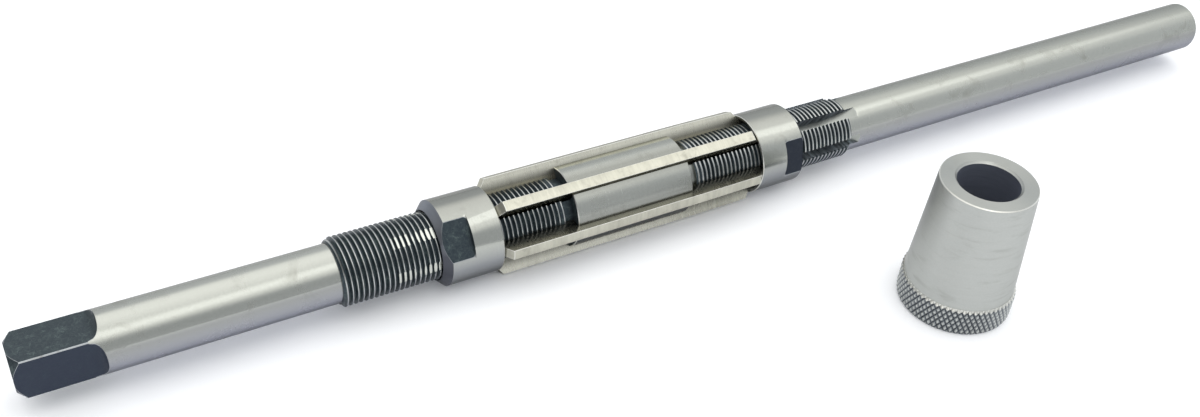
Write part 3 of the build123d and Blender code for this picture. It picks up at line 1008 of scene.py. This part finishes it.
def nut_bar(sizes, face, outwards, nut_length, chamfer, flat_length, turn):
    """Rings round a nut's section, from its seat over its outside and back through its bore."""
    bar = FlattedBar(flats=2, flat_steps=8, round_steps=30, rim=sizes.rim, turn=turn)
    corner_steps, chamfer_steps = 4, 8
    radius, corner = sizes.radius, sizes.corner_radius
    back = face + outwards * nut_length
    flats_end_in_chamfer = radius - chamfer <= sizes.flat_radius
    full = acos(sizes.flat_radius / radius)
    slim = radians(1.5)
    last_half = slim if flats_end_in_chamfer else acos(sizes.flat_radius / (radius - chamfer))
    bar.add(face, sizes.mouth_radius, "nut", half_angle=last_half)
    bar.add(face, radius - sizes.inner_chamfer, "edge", half_angle=full)
    bar.add(face + outwards * sizes.inner_chamfer, radius, "nut", half_angle=full)
    step_x = back - outwards * flat_length
    trim = corner / radius
    bar.add(step_x, radius, "step", half_angle=full - trim)
    for part in range(corner_steps + 1):
        bend = pi / 2 * part / corner_steps
        x = step_x + outwards * corner * (1 - cos(bend))
        bar.add(x, radius, "flat", sizes.flat_radius, full - trim * (1 - sin(bend)))
    bar.add(back - outwards * chamfer, radius, "chamfer", sizes.flat_radius, full)
    for step in range(1, chamfer_steps + 1):
        ring_radius = radius - chamfer * step / chamfer_steps
        if ring_radius > sizes.flat_radius:
            x = back - outwards * chamfer * (1 - step / chamfer_steps)
            bar.add(x, ring_radius, "chamfer", sizes.flat_radius)
    if flats_end_in_chamfer:
        part = (radius - sizes.flat_radius) / chamfer
        bar.add(back - outwards * chamfer * (1 - part), sizes.flat_radius, "shade", half_angle=slim)
        bar.add(back, radius - chamfer, "shade", half_angle=slim)
    for x, ring_radius, mark in (
        (back, sizes.bore_radius + sizes.bore_chamfer, "black"),
        (back - outwards * sizes.bore_chamfer, sizes.bore_radius, "black"),
        (face + outwards * sizes.seat_depth, sizes.bore_radius, "nut"),
        (face, sizes.mouth_radius, "nut"),
    ):
        bar.add(x, ring_radius, mark, half_angle=last_half)
    return bar


# Guide bush

def knurl_rings(sizes, turns):
    """Height and radius of each ring of the knurl."""
    fullness = 1.3
    rows, row_height = knurl_row(sizes)
    around = turns * sizes.knurl_count / (2 * pi)
    for row in range(rows + 1):
        z, along = row_height * row, row / 4
        waves = [1 - np.abs(2 * np.mod(value, 1.0) - 1) for value in (around + along, around - along)]
        peak = np.minimum(*waves)
        radius = BUSH_RADIUS - sizes.knurl_depth * (1 - np.minimum(1.0, fullness * peak))
        from_end = min(z, sizes.knurl_height - z, sizes.knurl_chamfer)
        yield z, np.minimum(radius, BUSH_RADIUS - sizes.knurl_chamfer + from_end)


def bush_rings(sizes):
    """Rings from the bore's lower end over the foot, the knurl and the top, and back through the bore."""
    quarter = 4 * sizes.knurl_count
    turns = np.linspace(0, 2 * pi, quarter + 1)
    side_steps = 6
    rings, marks = [], []

    def add(z, radius, mark):
        x, y = radius * np.cos(turns), radius * np.sin(turns)
        rings.append(np.stack((x, y, np.full(len(turns), z)), axis=-1))
        marks.append(mark)

    mouth = sizes.bore_radius + sizes.bore_chamfer
    add(sizes.bore_chamfer, sizes.bore_radius, "bush")
    add(0.0, mouth, "bush")
    add(0.0, BUSH_RADIUS - sizes.knurl_chamfer, "knurl")
    first_knurl = len(rings)
    for z, radius in knurl_rings(sizes, turns):
        add(z, radius, "knurl")
    upper_chamfer = slice(-2, None)
    marks[upper_chamfer] = "edge", "edge"
    last_knurl = len(rings) - 1
    side = BUSH_HEIGHT - sizes.edge_chamfer - sizes.knurl_height
    for step in range(side_steps + 1):
        share = step / side_steps
        add(sizes.knurl_height + side * share,
            sizes.neck_radius + (sizes.top_radius - sizes.neck_radius) * share,
            "bush" if step < side_steps else "edge")
    add(BUSH_HEIGHT, sizes.top_radius - sizes.edge_chamfer, "bush")
    add(BUSH_HEIGHT, mouth, "bush")
    add(BUSH_HEIGHT - sizes.bore_chamfer, sizes.bore_radius, "bore")
    add(sizes.bore_chamfer, sizes.bore_radius, "bore")
    other_diagonal = np.zeros((len(rings) - 1, quarter), bool)
    column = np.arange(quarter)
    for ring in range(first_knurl, last_knurl):
        other_diagonal[ring] = ((ring - first_knurl) // 2 + column // 2) % 2 == 1
    return np.array(rings) + BUSH_FOOT, marks, other_diagonal


# Stage

def lay_floor(settings):
    """A pale matt floor that the camera and reflections see as white."""
    level, reach = CAD_BOX[0][2], 3.0
    corners = [(x * reach, y * reach, level) for x, y in ((-1, -1), (1, -1), (1, 1), (-1, 1))]
    mesh = bpy.data.meshes.new("floor")
    mesh.from_pydata(corners, [], [(0, 1, 2, 3)])
    add_object("floor", mesh)
    made, tree, shader, place = new_material("Pale floor")
    cloud = use_group(tree, "Handling stains", place, Size=0.2, Cover=0.2)
    path = put(tree, "ShaderNodeLightPath").outputs
    mirrored = calc(tree, "MAXIMUM", path["Is Glossy Ray"], path["Is Transmission Ray"])
    reflected = calc(tree, "MULTIPLY", mirrored, settings.mirror_lift)
    seen = calc(tree, "MAXIMUM", path["Is Camera Ray"], reflected)
    paint = settings.floor_colour
    feed(tree, shader, {
        "Base Color": blend_colours(tree, cloud, paint, toned(paint, 0.995)),
        "Roughness": 0.9,
        "Specular IOR Level": 0.0,
        "Emission Color": opaque(settings.floor_glow),
        "Emission Strength": calc(tree, "MULTIPLY", seen, settings.floor_lift),
    })
    mesh.materials.append(made)


def light_tent(settings):
    """A soft white room: light from above, less from the sides."""
    world = bpy.data.worlds.new("Light tent")
    world.use_nodes = True
    tree = world.node_tree
    way = split(tree, put(tree, "ShaderNodeTexCoord").outputs["Generated"])
    above = put(tree, "ShaderNodeMapRange", {0: way["Z"], 1: settings.top_start, 2: settings.top_full},
                interpolation_type="SMOOTHSTEP").outputs[0]
    bent = calc(tree, "MULTIPLY", way["X"], calc(tree, "ABSOLUTE", way["X"]))
    right = calc(tree, "MULTIPLY", bent, settings.right_gain)
    behind = calc(tree, "MULTIPLY", calc(tree, "MAXIMUM", way["Y"], 0.0), settings.back_gain)
    gain = calc(tree, "ADD", 1.0, calc(tree, "ADD", right, behind))
    side = put(tree, "ShaderNodeVectorMath", {0: settings.side_light, "Scale": gain}, operation="SCALE")
    top = toned(settings.top_light, settings.top_level)
    tent = blend_colours(tree, above, side.outputs[0], top)
    feed(tree, tree.nodes["Background"], {"Color": tent})
    bpy.context.scene.world = world


def hang_soft_box(settings):
    """One long lamp that runs beside the tool and turns about its axis on the way."""
    lamp = bpy.data.lights.new("Long soft box", "AREA")
    lamp.shape = "RECTANGLE"
    lamp.size, lamp.size_y = settings.strip_length, settings.strip_width
    lamp.energy = settings.strip_power
    lamp.color = settings.strip_colour
    box = add_object("Long soft box", lamp)
    near, far = (Vector((station, cos(turn), sin(turn))) for station, turn in (
        (settings.strip_start, settings.strip_angle), (settings.strip_end, settings.far_strip_angle)))
    along = (far - near).normalized()
    box.location = (near + far) / 2
    towards = (box.location - along * box.location.dot(along)).normalized()
    box.rotation_euler = Matrix((along, towards.cross(along), towards)).transposed().to_euler()


def set_camera(settings):
    """The camera in the photograph's place."""
    camera = bpy.data.cameras.new("Camera")
    camera.sensor_fit = "HORIZONTAL"
    camera.sensor_width = settings.sensor
    camera.lens = settings.lens
    camera.clip_start = 5 * MM
    camera.clip_end = 20.0
    holder = add_object("Camera", camera)
    right = settings.camera_right.normalized()
    back = right.cross(settings.camera_up).normalized()
    turned = Matrix((right, back.cross(right), back)).transposed().to_4x4()
    holder.matrix_world = Matrix.Translation(settings.camera_place) @ turned
    bpy.context.scene.camera = holder


# Operators

class REAMER_OT_stage(bpy.types.Operator):
    """Lay the floor, hang the light and set up the camera"""
    bl_idname = "reamer.stage"
    bl_label = "Stage, light and camera"

    def execute(self, context):
        settings = context.scene.stage_settings
        context.scene.view_settings.view_transform = "Standard"
        for step in (lay_floor, light_tent, hang_soft_box, set_camera):
            step(settings)
        return {"FINISHED"}


class REAMER_OT_shank(bpy.types.Operator):
    """Build the driving square and the plain shank"""
    bl_idname = "reamer.shank"
    bl_label = "Driving square and shank"

    def execute(self, context):
        bar = shank_bar(context.scene.shank_sizes)
        plans = {
            "chamfer": ("black", "black", "worn"),
            "flat": ("worn", "black", "black"),
            "runout": ("shank", "black", "worn"),
        }
        finishes = bar.finishes(plans)
        # Painted light: the flats facing the front and the back get the lighter, bluer copy of the black
        # finish.
        columns = len(bar.lies_on)
        every_other_side = np.arange(columns) * bar.flats // columns % 2 == 0
        on_flats = np.isin(bar.marks[:-1], list(plans))
        lighter = np.outer(on_flats, every_other_side) & (finishes == "black")
        finishes = np.where(lighter, "square", finishes)
        piece = skin("driving_shank", bar.rings, finishes, sharp=24)
        stand_for(piece, "reamer", "reamer_body", slot="body_steel")
        return {"FINISHED"}


class REAMER_OT_body(bpy.types.Operator):
    """Build the slotted threaded body with the pilot"""
    bl_idname = "reamer.body"
    bl_label = "Threaded body and pilot"

    def execute(self, context):
        shape = BodyShape(context.scene.body_sizes)
        shape.build()
        piece = skin("slotted_body", shape.rings, shape.finishes(), sharp=24)
        stand_for(piece, "reamer", "reamer_body", slot="body_steel")
        return {"FINISHED"}


class REAMER_OT_blades(bpy.types.Operator):
    """Set the six blades in their slots"""
    bl_idname = "reamer.blades"
    bl_label = "Blades"

    def execute(self, context):
        sizes = context.scene.blade_sizes
        side_columns = (0, 1, 5)
        for number in range(BLADES):
            rings = blade_rings(sizes, context.scene.body_sizes, 2 * pi * number / BLADES)
            finishes = np.full((rings.shape[0] - 1, rings.shape[1] - 1), "land")
            finishes[:, side_columns] = "side"
            finishes[(0, -1), :] = "side"
            piece = skin(f"ground_blade_{number + 1}", rings, finishes, sharp=20)
            soften(piece, sizes.edge_break, finish="edge")
            stand_for(piece, f"blade_{number + 1}_body", f"blade_{number + 1}", slot="blade_steel")
        return {"FINISHED"}


class REAMER_OT_nuts(bpy.types.Operator):
    """Screw on the two nuts that hold the blades"""
    bl_idname = "reamer.nuts"
    bl_label = "Nuts"

    def execute(self, context):
        sizes = context.scene.nut_sizes
        for name, flats, outwards, chamfer, flat_length, turn in (
            ("shank_nut", "black", -1, sizes.shank_chamfer, sizes.shank_flat_length,
             sizes.shank_flat_angle),
            ("pilot_nut", "blued", 1, sizes.pilot_chamfer, sizes.pilot_flat_length,
             sizes.pilot_flat_angle),
        ):
            low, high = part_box(name)
            face = low.x if outwards > 0 else high.x
            bar = nut_bar(sizes, face, outwards, (high - low).x, chamfer, flat_length, turn)
            finishes = bar.finishes({
                "step": ("nut", flats, flats),
                "flat": ("nut", flats, "worn"),
                "chamfer": ("shade", flats, "worn"),
            })
            piece = skin(f"turned_{name}", bar.rings, finishes)
            soften(piece, sizes.edge_break)
            stand_for(piece, f"{name}_body", name, slot="nut_steel")
        return {"FINISHED"}


class REAMER_OT_bush(bpy.types.Operator):
    """Stand the knurled guide bush beside the tool"""
    bl_idname = "reamer.bush"
    bl_label = "Guide bush"

    def execute(self, context):
        rings, marks, other_diagonal = bush_rings(context.scene.bush_sizes)
        finishes = [[mark] * other_diagonal.shape[1] for mark in marks[:-1]]
        piece = skin("knurled_bush", rings, finishes, other_diagonal, sharp=20)
        stand_for(piece, "reamer", "guide_bush", slot="bush_steel")
        return {"FINISHED"}


class REAMER_PT_panel(bpy.types.Panel):
    """Lists the steps that build the reamer"""
    bl_label = "Adjustable hand reamer"
    bl_idname = "REAMER_PT_panel"
    bl_space_type = "VIEW_3D"
    bl_region_type = "UI"
    bl_category = "Reamer"

    def draw(self, context):
        for step in STEPS:
            self.layout.operator(step.bl_idname)
        for settings in SETTINGS:
            group = getattr(context.scene, settings)
            column = self.layout.column(heading=settings.replace("_", " "))
            for name in group.__annotations__:
                column.prop(group, name)


STEPS = (
    REAMER_OT_stage, REAMER_OT_shank, REAMER_OT_body, REAMER_OT_blades, REAMER_OT_nuts, REAMER_OT_bush)
SETTINGS = {
    "shank_sizes": ShankSizes,
    "body_sizes": BodySizes,
    "blade_sizes": BladeSizes,
    "nut_sizes": NutSizes,
    "bush_sizes": BushSizes,
    "finish_colours": FinishColours,
    "stage_settings": StageSettings,
}
CLASSES = (*SETTINGS.values(), *STEPS, REAMER_PT_panel)


def register():
    for made in CLASSES:
        bpy.utils.register_class(made)
    for name, made in SETTINGS.items():
        setattr(bpy.types.Scene, name, PointerProperty(type=made))


def unregister():
    for name in SETTINGS:
        delattr(bpy.types.Scene, name)
    for made in reversed(CLASSES):
        bpy.utils.unregister_class(made)


def main():
    """Registers the classes and builds the tool step by step."""
    register()
    bpy.ops.reamer.stage()
    bpy.ops.reamer.shank()
    bpy.ops.reamer.body()
    bpy.ops.reamer.blades()
    bpy.ops.reamer.nuts()
    bpy.ops.reamer.bush()


if __name__ == "__main__":
    main()
